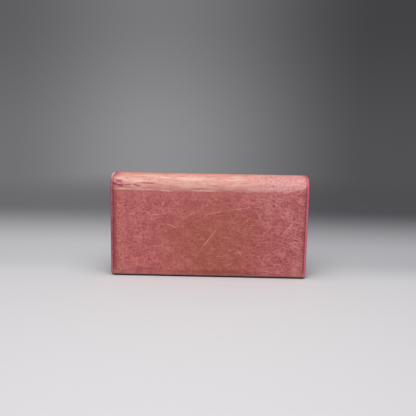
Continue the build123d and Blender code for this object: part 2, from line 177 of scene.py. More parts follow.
class Cut:
    """The outline of a cut sheet, with rounded corners. An open end carries on into another sheet."""

    def __init__(self, width, low, high, low_corner=0.0, high_corner=0.0, open_low=False, open_high=False,
                 drawn_in=None):
        self.width, self.low, self.high = width, low, high
        self.low_corner, self.high_corner = low_corner, high_corner
        self.open_low, self.open_high = open_low, open_high
        self.drawn_in = drawn_in or (lambda v: 0 * v)

    def ends(self, inset):
        """The lowest and highest v of the outline drawn in by inset."""
        return self.low + inset * (not self.open_low), self.high - inset * (not self.open_high)

    def half(self, v, inset=0.0):
        """Half the width at v."""
        start, end = self.ends(inset)
        low_corner = max(self.low_corner - inset, 0)
        high_corner = max(self.high_corner - inset, 0)
        below = np.clip(start + low_corner - v, 0, low_corner)
        above = np.clip(v - end + high_corner, 0, high_corner)
        half = self.width / 2 - self.drawn_in(v) - inset - low_corner + np.sqrt(low_corner**2 - below**2)
        return half - high_corner + np.sqrt(high_corner**2 - above**2)

    def margin(self, u, v):
        """How far a point inside lies from the outline, leaving out the open ends."""
        side = self.half(v) - abs(u)
        below = np.inf if self.open_low else v - self.low
        above = np.inf if self.open_high else self.high - v
        return np.minimum(side, np.minimum(below, above))

    def rows(self, inset, step, fine=()):
        """Values of v from end to end, close together in the corners and in the fine stretches."""
        start, end = self.ends(inset)
        arc = 1 - np.cos(np.linspace(0, math.pi / 2, 9))
        bottom = start + arc * max(self.low_corner - inset, 0)
        top = end - arc * max(self.high_corner - inset, 0)
        values = np.concatenate([bottom, paced(bottom.max(), top.min(), step, fine), top])
        values = np.sort(values)
        return values[np.concatenate([[True], np.diff(values) > 1e-7])]

    def loop(self, inset, step, fine=()):
        """Points (u, v) along the closed edges, anticlockwise."""
        v = self.rows(inset, step, fine)
        half = self.half(v, inset)
        left = np.stack([-half, v], -1)
        right = np.stack([half, v], -1)
        if self.open_high:
            return np.concatenate([left[::-1], right])
        if self.open_low:
            return np.concatenate([right, left[::-1]])
        return np.concatenate([left[::-1], right, left[-1:]])


def add_mesh(name, points, faces, materials, picks=None, rim=None, uv=None, sharp=50):
    """A new object from arrays. picks is for each face its material, rim and uv are for each point."""
    mesh = bpy.data.meshes.new(name)
    mesh.from_pydata(np.asarray(points).tolist(), [], faces)
    for material in materials:
        mesh.materials.append(material)
    if picks is not None:
        mesh.polygons.foreach_set("material_index", np.asarray(picks, np.int32))
    if rim is not None:
        layer = mesh.attributes.new("rim", "FLOAT", "POINT")
        layer.data.foreach_set("value", np.asarray(rim, np.float32))
    if uv is not None:
        layer = mesh.uv_layers.new(name="cut")
        corner_points = np.zeros(len(mesh.loops), np.int32)
        mesh.loops.foreach_get("vertex_index", corner_points)
        layer.data.foreach_set("uv", np.asarray(uv, np.float32)[corner_points].ravel())
    mesh.shade_smooth()
    mesh.set_sharp_from_angle(angle=math.radians(sharp))
    mesh.update()
    piece = bpy.data.objects.new(name, mesh)
    bpy.context.scene.collection.objects.link(piece)
    return piece


def columns(width, step, fine):
    """Values from -1 to 1 across a width, closer together near both ends."""
    half, near = width / 2, min(7 * MM, width / 8)
    values = paced(-half, half, step, [(-half, near - half, 0.6 * MM), *fine, (half - near, half, 0.6 * MM)])
    return values / half


EDGE_TURNS = np.radians((22.5, 45, 67.5, 90))  # round each half of an edge


def as_field(value):
    """A depth given as a number or as a function of u, v and margin, as a function."""
    return value if callable(value) else (lambda u, v, margin: value + 0 * u)


def sheet(name, cut, place, top, bottom, materials, step=2 * MM, fine=(), fine_across=()):
    """A sheet of leather or cloth with rounded edges: materials are for its face, edge and back.

    top and bottom are the depths of its two faces, fine and fine_across are where it is cut finer.
    """
    top, bottom = as_field(top), as_field(bottom)
    u, v = cut.loop(0, step)[:1].T
    thick = float(np.min(bottom(u, v, 0) - top(u, v, 0)))
    inset = 0.45 * thick
    v = cut.rows(inset, step, fine)
    spread = columns(cut.width, step, fine_across)
    u_grid = cut.half(v, inset)[:, None] * spread[None, :]
    v_grid = np.repeat(v[:, None], len(spread), 1)
    margin = cut.margin(u_grid, v_grid)
    top_depth = top(u_grid, v_grid, margin)
    bottom_depth = bottom(u_grid, v_grid, margin)
    index = np.arange(u_grid.size).reshape(u_grid.shape)

    bottom_row, top_row = index[0], index[-1][::-1]
    left, right = index[::-1, 0], index[:, -1]
    if cut.open_high:
        edge = np.concatenate([left[:-1], bottom_row[:-1], right])
    elif cut.open_low:
        edge = np.concatenate([right[:-1], top_row[:-1], left])
    else:
        edge = np.concatenate([bottom_row[:-1], right[:-1], top_row[:-1], left[:-1]])
    closed = not (cut.open_low or cut.open_high)

    at = np.stack([u_grid.ravel()[edge], v_grid.ravel()[edge]], -1)
    if closed:
        along = np.roll(at, -1, 0) - np.roll(at, 1, 0)
    else:
        along = np.gradient(at, axis=0)
        along[[0, -1], 0] = 0
    outward = np.stack([along[:, 1], -along[:, 0]], -1)
    outward /= np.linalg.norm(outward, axis=1)[:, None]

    places = [place(u_grid, v_grid, top_depth).reshape(-1, 3)]
    uvs = [np.stack([u_grid.ravel(), v_grid.ravel()], -1)]
    rims = [inset - margin.ravel()]
    start, end = top_depth.ravel()[edge], bottom_depth.ravel()[edge]
    rings = [(turn, 0) for turn in EDGE_TURNS] + [(turn, 1) for turn in EDGE_TURNS[::-1]]
    for turn, side in rings:
        spot = at + outward * inset * math.sin(turn)
        dip = inset * (1 - math.cos(turn))
        places.append(place(spot[:, 0], spot[:, 1], end - dip if side else start + dip))
        travel = 2 * inset + thick - inset * turn if side else inset * turn
        uvs.append(at + outward * min(travel, inset + 0.3 * MM))
        rims.append(np.full(len(edge), travel))
    places.append(place(u_grid, v_grid, bottom_depth).reshape(-1, 3))
    uvs.append(uvs[0])
    rims.append(2 * inset + thick + margin.ravel())

    def quads(grid):
        return np.stack([grid[:-1, :-1], grid[:-1, 1:], grid[1:, 1:], grid[1:, :-1]], -1).reshape(-1, 4)

    first_ring = u_grid.size
    count = len(edge)
    under = first_ring + len(rings) * count
    strips = [edge] + [first_ring + k * count + np.arange(count) for k in range(len(rings))] + [under + edge]
    faces = [quads(index)]
    for inner, outer in zip(strips, strips[1:]):
        if closed:
            inner, outer = np.append(inner, inner[0]), np.append(outer, outer[0])
        faces.append(np.stack([inner[1:], inner[:-1], outer[:-1], outer[1:]], -1))
    faces.append(quads(under + index)[:, ::-1])
    picks = np.repeat([0] + [1] * (len(faces) - 2) + [2], [len(group) for group in faces]).tolist()
    faces = np.concatenate(faces).tolist()
    if not closed:
        line = index[-1] if cut.open_high else index[0][::-1]
        faces += np.stack([line[:-1], line[1:], under + line[1:], under + line[:-1]], -1).tolist()
        faces += [[int(strip[0]) for strip in strips][::-1], [int(strip[-1]) for strip in strips]]
        picks += [1] * (len(line) + 1)
    rim, uv = np.concatenate(rims), np.concatenate(uvs)
    return add_mesh(name, np.concatenate(places), faces, materials, picks, rim, uv, sharp=60)


def distances(line):
    """How far along a line of points each of them lies."""
    return np.concatenate([[0], np.cumsum(np.linalg.norm(np.diff(line, axis=0), axis=1))])


def path_place(points, z_low, z_high, dip):
    """A folded sheet that stands on a path in the XY plane: v runs along the path and u upwards.

    dip is how much lower the sheet is at the middle of its path, as a share of its height.
    """
    line = np.array(points, float)
    for _ in range(2):
        early, late = line[:-1] * 0.75 + line[1:] * 0.25, line[:-1] * 0.25 + line[1:] * 0.75
        line = np.concatenate([line[:1], np.stack([early, late], 1).reshape(-1, 2), line[-1:]])
    lengths = distances(line)
    tangent = np.gradient(line, axis=0)
    tangent /= np.linalg.norm(tangent, axis=1)[:, None]
    total = lengths[-1]

    def place(u, v, depth):
        x, y = (np.interp(v, lengths, line[:, k]) for k in (0, 1))
        along_x, along_y = (np.interp(v, lengths, tangent[:, k]) for k in (0, 1))
        height = (z_high - z_low) * (1 - dip * np.sin(np.clip(v / total, 0, 1) * math.pi) ** 2)
        z = z_low + (u / (z_high - z_low) + 0.5) * height
        return np.stack([x + along_y * depth, y - along_x * depth, z + 0 * depth], -1)

    return place, total


def stitches(name, route, place, material, pitch=STITCH_PITCH, radius=STITCH_RADIUS):
    """Single stitches along a route of (u, v) points."""
    route = np.array(route, float)
    lengths = distances(route)
    count = int(lengths[-1] / 2 / pitch)
    middles = lengths[-1] / 2 + pitch * (np.arange(-count, count) + 0.5)
    along = np.linspace(-1, 1, 7)
    around = np.linspace(0, math.tau, 7)[:-1]
    spot = middles[:, None] + along * STITCH_LENGTH / 2 * pitch / STITCH_PITCH
    u, v = (np.interp(spot, lengths, route[:, k]) for k in (0, 1))
    du, dv = np.gradient(u, axis=1), np.gradient(v, axis=1)
    size = np.hypot(du, dv)
    across_u, across_v = dv / size, -du / size
    swell = radius * np.sqrt(1 - 0.8 * along**4)[:, None]
    crown = STITCH_LIFT * (1 - along**2) - radius * 1.2 * along**2
    side = radius * 0.8 * along[:, None] + swell * np.cos(around)
    rise = crown[:, None] + swell * np.sin(around)
    u3, v3 = u[..., None] + across_u[..., None] * side, v[..., None] + across_v[..., None] * side
    points = place(u3, v3, -rise).reshape(-1, 3)
    index = np.arange(u3.size).reshape(u3.shape)
    turned = np.roll(index, -1, 2)
    faces = np.stack([index[:, :-1], index[:, 1:], turned[:, 1:], turned[:, :-1]], -1).reshape(-1, 4).tolist()
    faces += index[:, 0].tolist() + index[:, -1, ::-1].tolist()
    uv = np.stack([np.broadcast_to(spot[..., None], u3.shape).ravel(), u3.ravel()], -1)
    return add_mesh(name, points, faces, [material], uv=uv, sharp=80)


def skin(rings, count, first=0):
    """Faces over rings of count points, numbered from first, closed at both ends."""
    index = first + np.arange(rings * count).reshape(rings, count)
    turned = np.roll(index, -1, 1)
    faces = np.stack([index[:-1], turned[:-1], turned[1:], index[1:]], -1).reshape(-1, 4).tolist()
    return faces + [index[0][::-1].tolist(), index[-1].tolist()]


def lathe(name, x, y, z, facing, profile, materials):
    """A round piece about a line along Y: profile lists radius and height towards facing."""
    angle = np.linspace(0, math.tau, 49)[:-1]
    rings = [
        np.stack([x + r * np.cos(angle), np.full(len(angle), y + facing * h), z + r * np.sin(angle)], -1)
        for r, h in profile
    ]
    faces = skin(len(rings), len(angle))
    if facing > 0:
        faces = [face[::-1] for face in faces]
    return add_mesh(name, np.concatenate(rings), faces, materials, sharp=35)


# Materials


def rgb(*levels):
    """A colour from screen values of 0 to 255."""
    return *(((c / 255 + 0.055) / 1.055) ** 2.4 if c > 10 else c / 255 / 12.92 for c in levels), 1


class Value:
    """A node's output. Arithmetic on it adds nodes to its tree."""

    def __init__(self, nodes, socket):
        self.nodes, self.socket = nodes, socket

    def __add__(self, other):
        return self.nodes.math("ADD", self, other)

    def __sub__(self, other):
        return self.nodes.math("SUBTRACT", self, other)

    def __mul__(self, other):
        return self.nodes.math("MULTIPLY", self, other)

    def __abs__(self):
        return self.nodes.math("ABSOLUTE", self)

    def rise(self, start, end, low=0.0, high=1.0):
        """low before start, high after end, and a smooth change between them."""
        inputs = {0: self, 1: start, 2: end, 3: low, 4: high}
        return self.nodes.node("MapRange", inputs, interpolation_type="SMOOTHSTEP")

    def fall(self, start, end):
        """1 before start, 0 after end."""
        return self.rise(start, end, 1.0, 0.0)

    def near(self, middle, reach):
        """1 at middle, falling smoothly to 0 at reach from it."""
        return abs(self - middle).fall(0.0, reach)


class Nodes:
    """A node tree made by short calls. An input is a number, a colour, a vector or a Value."""

    def __init__(self, tree):
        self.tree = tree

    def put(self, socket, value):
        if isinstance(value, Value):
            self.tree.links.new(value.socket, socket)
        else:
            socket.default_value = value

    def node(self, kind, inputs, output=0, **settings):
        made = self.tree.nodes.new("ShaderNode" + kind)
        for key, value in settings.items():
            setattr(made, key, value)
        for key, value in inputs.items():
            self.put(made.inputs[key], value)
        return Value(self, made.outputs[output])

    def math(self, operation, first, second=0.0):
        return self.node("Math", {0: first, 1: second}, operation=operation)

    def most(self, first, second):
        return self.math("MAXIMUM", first, second)

    def vector(self, operation, first, second, output=0):
        return self.node("VectorMath", {0: first, 1: second}, output, operation=operation)

    def scaled(self, vector, factor):
        return self.node("VectorMath", {0: vector, 3: factor}, operation="SCALE")

    def length(self, vector):
        return self.node("VectorMath", {0: vector}, 1, operation="LENGTH")

    def split(self, vector):
        """A vector's x, y and z."""
        node = self.tree.nodes.new("ShaderNodeSeparateXYZ")
        self.put(node.inputs[0], vector)
        return [Value(self, part) for part in node.outputs]

    def cut_mm(self):
        """The place on the cut sheet, in millimetres."""
        return self.scaled(self.node("UVMap", {}, uv_map="cut"), 1 / MM)

    def object_mm(self):
        """The place in the object, in millimetres."""
        return self.scaled(self.node("TexCoord", {}, 3), 1 / MM)

    def rim_mm(self):
        """How far past the face's border a point lies, in millimetres, negative on the face."""
        return self.node("Attribute", {}, 2, attribute_name="rim") * (1 / MM)

    def noise(self, at, scale, detail=2.0, rough=0.5, bend=0.0, output=0):
        values = {"Vector": at, "Scale": scale, "Detail": detail, "Roughness": rough, "Distortion": bend}
        return self.node("TexNoise", values, output)

    def cells(self, at, scale, feature="F1"):
        return self.node("TexVoronoi", {"Vector": at, "Scale": scale}, feature=feature)

    def veins(self, at, scale, width):
        """Thin lines between random cells, width as a share of a cell."""
        return self.cells(at, scale, "DISTANCE_TO_EDGE").fall(0.0, width)

    def streaks(self, at, degrees, stretch, detail, rough):
        """Noise turned by degrees and stretched."""
        values = {"Vector": at, "Rotation": (0, 0, math.radians(degrees)), "Scale": stretch}
        return self.noise(self.node("Mapping", values, vector_type="POINT"), 1.0, detail, rough)

    def warped(self, at, scale, amount):
        """at, pushed about by up to amount in a random way."""
        push = self.vector("SUBTRACT", self.noise(at, scale, output=1), (0.5, 0.5, 0.5))
        return self.vector("ADD", at, self.scaled(push, amount))

    def scratch(self, at, start, end, width):
        """A straight scratch from start to end."""
        along = np.array(end, float) - start
        from_start = self.vector("SUBTRACT", at, start)
        share = self.vector("DOT_PRODUCT", from_start, tuple(along / np.dot(along, along)), 1)
        share = self.node("Clamp", {0: share})
        away = self.length(self.vector("SUBTRACT", from_start, self.scaled(tuple(along), share)))
        return away.fall(0.0, width) * abs(share - 0.5).rise(0.2, 0.5, 1.0, 0.25)

    def mix(self, amount, first, second):
        return self.node("Mix", {0: amount, 6: first, 7: second}, 2, data_type="RGBA")

    def coats(self, colour, *coats):
        """A colour under coats: each is a colour, then the shares that multiply to how much it hides."""
        for over, hidden, *shares in coats:
            for share in shares:
                hidden = hidden * share
            colour = self.mix(hidden, colour, over)
        return colour

class Paint(Nodes):
    """A new material with a Principled shader."""

    def __init__(self, name):
        self.material = bpy.data.materials.new(name)
        self.material.use_nodes = True
        super().__init__(self.material.node_tree)
        self.shader = self.tree.nodes["Principled BSDF"]

    def finish(self, colour, rough, height, depth, **values):
        """The material, its shader set, with height as a bump that is depth high."""
        bump = self.node("Bump", {"Height": height, "Distance": depth})
        for key, value in {"Base Color": colour, "Roughness": rough, "Normal": bump, **values}.items():
            self.put(self.shader.inputs[key], value)
        return self.material


# Colours
ROSE = rgb(165, 65, 70)
BROWN = rgb(154, 70, 52)
CRIMSON = rgb(159, 48, 66)
DARK_RED = rgb(104, 22, 30)
PALE = rgb(204, 122, 114)
TAN = rgb(184, 124, 112)
VEIN = rgb(224, 146, 138)
SCRAPE = rgb(236, 172, 158)
PEACH = rgb(206, 141, 130)
CREAM = rgb(222, 180, 162)
BAND_PINK = rgb(206, 130, 136)
ORANGE = rgb(202, 110, 94)
HOT_PINK = rgb(202, 44, 98)
DUSTY_PINK = rgb(192, 90, 122)
MAGENTA = rgb(142, 56, 82)
# Black: the burnt edge at the foot together with a painted contact shadow there, and painted shade in the
# stitch holes
BURNT_AND_SHADE = rgb(30, 10, 11)
# Darker crimson in the wrinkles and along the seam's groove: painted shade
CREASE_SHADE = rgb(146, 34, 58)

# The outer leather is marked in millimetres on the cut: x across, v up from the foot.
# Each mark is a straight line: x and v at its start, x and v at its end, and its width.
HINGE = HINGE_Z / MM
FLAP = FLAP_START / MM
SCRATCHES = (
    (-7, 29, 9, 51, 0.9), (-21, 60, -13, 67, 0.8), (-4, 63, 16, 67, 0.8), (16, 67, 42, 71, 0.7),
    (-37, 79, -33, 77, 1.2), (44, 69, 52, 55, 0.9), (56, 84, 68, 74, 0.8), (59, 76, 70, 70, 0.9),
    (73, 46, 85, 62, 0.9), (76, 38, 88, 30, 1.0), (79, 36, 91, 38, 0.8), (62, 38, 77, 33, 0.7),
    (40, 61, 31, 53, 0.8), (50, 8, 72, 5, 0.9), (48, 22, 55, 11, 0.7), (-43, 75, -46, 69, 0.9),
    (-46, 69, -44, 63, 0.9), (-56, 62, -46, 62, 0.8), (-66, 64, -61, 65, 0.8), (-61, 65, -56, 62, 0.8),
    (-79, 62, -70, 63, 0.7), (-41, 53, -31, 49, 0.9), (-57, 30, -44, 31, 0.6), (-76, 40, -57, 39, 0.6),
    (-50, 89, -45, 85, 0.9), (24, 24, 34, 27, 0.8), (27, 30, 33, 21, 0.8),
)
WRINKLES = (  # the left end of the fold has been squeezed
    (-94, 92.0, -88, 89.9, 2.4), (-89, 89.9, -82, 88.9, 3.0), (-82, 90.3, -74, 90.6, 1.2),
    (-74, 90.6, -66, 89.0, 1.4), (-90.5, 94.6, -83, 93.6, 2.8), (-66, 92.4, -52, 92.0, 0.9),
)
# Painted highlights: pale lines along the foot of the fold and on a bump between the wrinkles
RIDGE_HIGHLIGHTS = (  # pale lines along the foot of the fold
    (-90, 86.6, -73, 86.2, 1.2), (-74, 86.4, -52, 86.2, 1.1), (-88.5, 91.9, -85, 91.6, 1.2),
    (-48, 86.0, -36, 85.2, 1.0), (-20, 86.2, 10, 85.6, 0.9),
)
FACE_INSET = 0.45 * LEATHER  # from the outline to where the rounding of the edge begins
SEAM_CORNER = FOOT_CORNER - STITCH_INSET
SEAM_START = (HALF - STITCH_INSET - SEAM_CORNER) + (math.pi / 2 - 1) * SEAM_CORNER - STITCH_INSET


def edge_colour(p, x, v):
    """The painted edge: pink, brighter on the right as painted light and dark magenta on the left as painted
    shade, with a painted highlight at the left end of the fold and black at the foot, partly burnt and partly
    a painted contact shadow.
    """
    # painted light: the right side's edge brighter pink
    right = p.mix(v.rise(62, HINGE + 6), DUSTY_PINK, HOT_PINK)
    # painted shade: the left side's edge dark magenta, with a painted highlight at the left end of the fold
    left = p.mix(v.near(HINGE + 19, 9) * 0.9, MAGENTA, CREAM)
    return p.mix(v.fall(1.6, 3.6), p.mix(x.rise(-60, 60), left, right), BURNT_AND_SHADE)


def lines(p, at, marks):
    """1 on the marks and 0 away from them."""
    total = 0.0
    for *ends, width in marks:
        total = p.most(total, p.scratch(at, (*ends[:2], 0), (*ends[2:], 0), width))
    return total


def crackle(p, at, mottle, busy):
    """A broken net of fine pale lines."""
    bent = p.warped(p.warped(at, 0.05, 16), 0.25, 4)
    wide = p.veins(bent, 0.12, 0.09) * p.noise(at, 0.06, 3.0).rise(0.46, 0.58, 0.0, 0.7)
    narrow = p.veins(bent, 0.26, 0.20) * p.noise(at, 0.10, 3.0).rise(0.42, 0.60, 0.35, 0.8)
    thin = p.veins(p.warped(at, 0.5, 2.5), 0.42, 0.26) * mottle.rise(0.4, 0.6, 0.3, 0.6)
    return p.most(wide, p.most(narrow, thin)) * busy


def fold_wear_and_highlight(p, at, x, v, right, mottle, grain, vein):
    """The fold's streaks of wear, partly a painted highlight: cream to the left, pink to the right, orange
    along the top as painted shade where the light grazes, and a painted falloff to rose towards the hinge.
    """
    streak = p.streaks(at, 0, (0.03, 0.32, 1), 5.0, 0.6)
    fibre = p.streaks(at, 1.5, (0.09, 0.62, 1), 5.0, 0.65)
    top = v.near((HINGE + FLAP) / 2, 10) * mottle.rise(0.3, 0.55, 0.3, 1.0)
    worn = p.coats(
        p.mix(streak.rise(0.42, 0.62), PEACH, CREAM),
        (BAND_PINK, right, 0.85),
        # painted shade: orange along the top of the fold, where the light grazes
        (ORANGE, top, right.rise(0, 1, 0.95, 0.25)),
        (ROSE, fibre.rise(0.5, 0.66), right.rise(0, 1, 0.55, 0.3)),
        (CREAM, fibre.rise(0.47, 0.34), 0.35),
        (CRIMSON, grain.rise(0.52, 0.66), right * 0.25 + 0.15),
        (CREAM, grain.rise(0.48, 0.36), right * 0.4 + 0.1),
        (CREAM, vein, 0.4),
        # painted falloff of the fold's highlight: rose towards the hinge
        (ROSE, (v + (mottle - 0.5) * 6).rise(HINGE, HINGE + 11, 0.5, 0.0), right.rise(0, 1, 0.85, 0.0)),
        (DUSTY_PINK, x.rise(-84, -90), v.rise(HINGE + 11, HINGE + 15), 0.8),
    )
    return worn, fibre


def worn_leather():
    """Rose leather, browner in the middle, crackled, scratched, and pale over the fold: worn there, and
    partly a painted highlight.
    """
    p = Paint("worn_leather")
    at = p.cut_mm()
    x, v, _ = p.split(at)
    margin = p.rim_mm() * -1 + FACE_INSET / MM
    broad = p.noise(at, 0.03, 4.0, 0.6)
    mottle = p.noise(at, 0.2, 5.0, 0.65)
    grain = p.noise(at, 0.42, 3.0, 0.6)
    flecks = p.noise(p.warped(at, 0.4, 2.0), 0.56, 3.0, 0.6)
    right = (x + broad * 40).rise(30, 90)

    from_middle = p.vector("MULTIPLY", p.vector("SUBTRACT", at, (12, 28, 0)), (1 / 78, 1 / 60, 0))
    away = p.length(from_middle) + (broad - 0.5) * 1.2
    busy = away.rise(0.35, 1.2, 0.55, 1.0)
    vein = crackle(p, at, mottle, busy)
    hairs = 0.0
    for degrees in (28, -41, 74, -12):
        stroke = p.streaks(p.warped(at, 0.05, 8), degrees, (0.05, 0.7, 1), 3.0, 0.6)
        hairs = p.most(hairs, stroke.rise(0.61, 0.69))
    scratched = lines(p, p.warped(at, 0.3, 1.0), SCRATCHES) * grain.rise(0.35, 0.5, 0.5, 1.0)
    scratched = p.most(hairs * right.rise(0, 1, 0.45, 0.9), scratched)
    face = p.coats(
        p.mix(away.rise(0.3, 1.05), BROWN, ROSE),
        (CRIMSON, right, 0.65),
        (DARK_RED, mottle.rise(0.5, 0.75), 0.2),
        (DARK_RED, flecks.rise(0.5, 0.62), right.rise(0, 1, 0.48, 0.85), busy),
        (PALE, grain.rise(0.52, 0.64), busy, 0.15),
        (PALE, p.noise(at, 0.06, 5.0, 0.65, 0.4).rise(0.5, 0.78), v.rise(20, 70, 0.4, 0.2)),
        (VEIN, vein, right.rise(0, 1, 0.65, 0.9)),
        (SCRAPE, scratched, 0.45),
    )

    wobble = (p.noise(at, 0.045, 3.0) + mottle - 1) * 4
    near_fold = v + wobble + x.rise(72, 92, 0.0, -4.0)
    # the fold's band: worn pale and partly a painted highlight
    band = near_fold.rise(HINGE - 1.6, HINGE + 1.2) * near_fold.fall(FLAP - 14, FLAP - 1)
    worn, fibre = fold_wear_and_highlight(p, at, x, v, right, mottle, grain, vein)
    bent = p.warped(at, 0.3, 1.4)
    creased = lines(p, bent, WRINKLES)
    folded = p.coats(
        face,
        (worn, band, 0.95),
        # painted highlight just below the fold
        (PALE, near_fold.near(HINGE - 3, 5), 0.25),
        (CRIMSON, x.near(-93, 22), v.near(91, 5.5), 0.75),
        # painted shade in the wrinkles
        (CREASE_SHADE, creased, 0.85),
        # painted highlights along the foot of the fold
        (CREAM, lines(p, bent, RIDGE_HIGHLIGHTS), 0.7),
    )

    # the edge paint with the painted light, shade and contact shadow of edge_colour
    painted = edge_colour(p, x, v)
    strip = p.coats(
        painted,
        (VEIN, mottle.rise(0.35, 0.65, 0.08, 0.32)),
        # a pale line just above the foot: worn, and partly a painted highlight
        (TAN, v.near(2.6, 1.2), 0.6),
        # black at the foot: partly the burnt edge, partly a painted contact shadow
        (BURNT_AND_SHADE, v.fall(1.5, 2.0)),
    )
    ragged = margin + (mottle - 0.5) * 0.8
    seam = abs(margin - STITCH_INSET / MM)
    stitch = p.math("PINGPONG", v + SEAM_START / MM, STITCH_PITCH / MM / 2)
    burnish = margin.near(3.9, 3.3) * x.rise(-40, 40, 0.5, 0.25)
    hole = seam.fall(0.1, 0.65) * stitch.fall(0.25, 0.75) * v.rise(5, 6) * v.fall(HINGE + 4, HINGE + 8)
    colour = p.coats(
        folded,
        (TAN, abs(x).rise(66, 84), v.near(6, 5), mottle.rise(0.35, 0.6, 0.15, 0.6)),
        (DARK_RED, x.near(10, 75), v.near(5.5, 3.5), 0.35),
        (MAGENTA, x.near(-62, 26), (v + broad * 3).near(9, 2.0), 0.5),
        (DARK_RED, burnish, band.rise(0, 1, 1.0, 0.5), v.rise(3, 7)),
        (strip, ragged.fall(1.7, 2.3), v.rise(1.8, 2.6, 1.0, 0.9)),
        (painted, margin.fall(0.35, 0.75)),
        # painted shade along the seam's groove
        (CREASE_SHADE, seam.fall(0.2, 0.8), v.rise(2, 5, 0.1, 0.5)),
        # painted shade in the stitch holes
        (BURNT_AND_SHADE, hole, 0.6),
    )

    pores = p.cells(p.warped(at, 1.0, 0.5), 1.5)
    height = pores * 0.3 - (flecks + grain) * 0.5 + vein * 0.3 - scratched * 0.8
    height = height + fibre * band - creased * 1.2 - hole * 2.0
    rough = flecks * 0.25 + p.most(vein, scratched) * 0.1 + band.rise(0, 1, 0.42, 0.38)
    p.put(p.shader.inputs["Specular IOR Level"], 0.4)
    return p.finish(colour, rough, height, 0.25 * MM)


def painted_edge():
    """The paint on the cut edges of the cover, scuffed and a little uneven, coloured by edge_colour with its
    painted light, shade and contact shadow.
    """
    p = Paint("painted_edge")
    at = p.cut_mm()
    x, v, _ = p.split(at)
    scuff = p.noise(at, 0.6, 4.0, 0.65)
    colour = p.coats(
        edge_colour(p, x, v),
        (VEIN, scuff.rise(0.5, 0.7), 0.35),
        (DARK_RED, p.rim_mm().near(1.4, 0.35), 0.5),
    )
    rough = scuff.rise(0.3, 0.7, 0.3, 0.5)
    return p.finish(colour, rough, scuff, 0.15 * MM)


def soft_leather(name, base, dark, worn, pore, roughness):
    """Unworn leather inside the wallet: pored, faintly mottled and darker at its edges."""
    p = Paint(name)
    at = p.cut_mm()
    mottle = p.noise(at, 0.5, 4.0, 0.6)
    hairs = p.streaks(at, 35, (0.04, 1.1, 1), 3.0, 0.6)
    colour = p.coats(
        p.mix(p.noise(at, 0.05, 4.0, 0.6).rise(0.3, 0.7), base, dark),
        (worn, mottle.rise(0.45, 0.75), 0.35),
        (dark, p.rim_mm().near(0.3, 0.9), 0.55),
        (worn, hairs.rise(0.66, 0.74), 0.3),
    )
    height = p.cells(p.warped(at, 0.9, 0.6), pore) * 0.7 - p.veins(p.warped(at, 0.3, 2.0), 0.45, 0.08) * 0.4
    rough = mottle * 0.2 + (roughness - 0.1)
    return p.finish(colour, rough, height, 0.12 * MM)


def waxed_thread(name, right, left, foot):
    """Twisted thread, coloured apart on the right, on the left and at the foot."""
    p = Paint(name)
    along, x, _ = p.split(p.cut_mm())
    twist = p.math("SINE", (along + x * 0.5) * (math.tau / 0.45))
    place = p.object_mm()
    colour = p.coats(
        p.mix(x.rise(-40, 60), left, right),
        (foot, p.split(place)[2].fall(2, 9)),
        (DARK_RED, p.noise(place, 1.5, 3.0).rise(0.4, 0.7), 0.35),
    )
    return p.finish(colour, 0.55, twist, 0.06 * MM)


def woven_tape():
    """The zip's tape: a fine herringbone of two yarns."""
    p = Paint("zip_tape_weave")
    at = p.cut_mm()
    x, v, _ = p.split(at)
    ribs = p.math("SINE", (v + p.math("PINGPONG", x, 1.2)) * (math.tau / 0.5))
    yarn = p.math("SINE", x * (math.tau / 0.35))
    height = ribs * 0.6 + yarn * 0.4
    colour = p.coats(
        p.mix(height.rise(-0.6, 0.8), rgb(70, 20, 30), rgb(122, 46, 58)),
        (rgb(150, 84, 90), p.noise(at, 2.0, 3.0).rise(0.5, 0.7), 0.3),
    )
    return p.finish(colour, 0.85, height, 0.08 * MM)


def aged_brass():
    """Brass with a brushed, scratched face and brown tarnish."""
    p = Paint("aged_brass")
    at = p.object_mm()
    stain = p.noise(at, 0.35, 5.0, 0.65)
    brushed = p.streaks(at, 20, (0.3, 6, 6), 3.0, 0.6)
    colour = p.coats(
        p.mix(stain.rise(0.3, 0.75), rgb(206, 170, 112), rgb(178, 136, 82)),
        (rgb(104, 72, 44), p.noise(at, 2.2, 3.0, 0.7).rise(0.56, 0.72), 0.25),
    )
    rough = brushed * 0.2 + stain.rise(0.3, 0.75, 0.18, 0.30)
    return p.finish(colour, rough, brushed, 0.03 * MM, Metallic=1.0)


def fibre_board():
    """Bonded fibre board."""
    p = Paint("fibre_board")
    fibres = p.streaks(p.object_mm(), 15, (0.3, 1.8, 1.8), 5.0, 0.7)
    colour = p.mix(fibres.rise(0.35, 0.65), rgb(150, 128, 104), rgb(192, 172, 146))
    return p.finish(colour, 0.9, fibres, 0.1 * MM)


OUTER = worn_leather()
EDGE = painted_edge()
LINING = soft_leather("lining_leather", rgb(176, 104, 92), rgb(134, 66, 62), rgb(204, 146, 132), 1.6, 0.5)
CARD = soft_leather("card_leather", rgb(150, 68, 70), rgb(112, 42, 50), rgb(190, 116, 112), 1.2, 0.45)
GUSSET = soft_leather("gusset_leather", rgb(132, 56, 60), rgb(92, 34, 42), rgb(170, 100, 98), 1.5, 0.55)
THREAD = waxed_thread("cover_thread", rgb(172, 58, 82), rgb(152, 58, 72), rgb(178, 112, 106))
CARD_THREAD = waxed_thread("card_thread", *[rgb(196, 112, 108)] * 3)
TAPE = woven_tape()
BRASS = aged_brass()
FIBRE = fibre_board()


# Putting pieces on the frame


def dress(piece, rides, slot, *nodes):
    """The piece rides on a body, or stays fixed where it is when given two, and stands for CAD nodes."""
    if isinstance(rides, str):
        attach(piece, rides)
    else:
        bodies, start, end = rides
        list(bodies)
        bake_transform(piece)
        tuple(start)
        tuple(end)
    if nodes:
        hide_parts(*nodes)


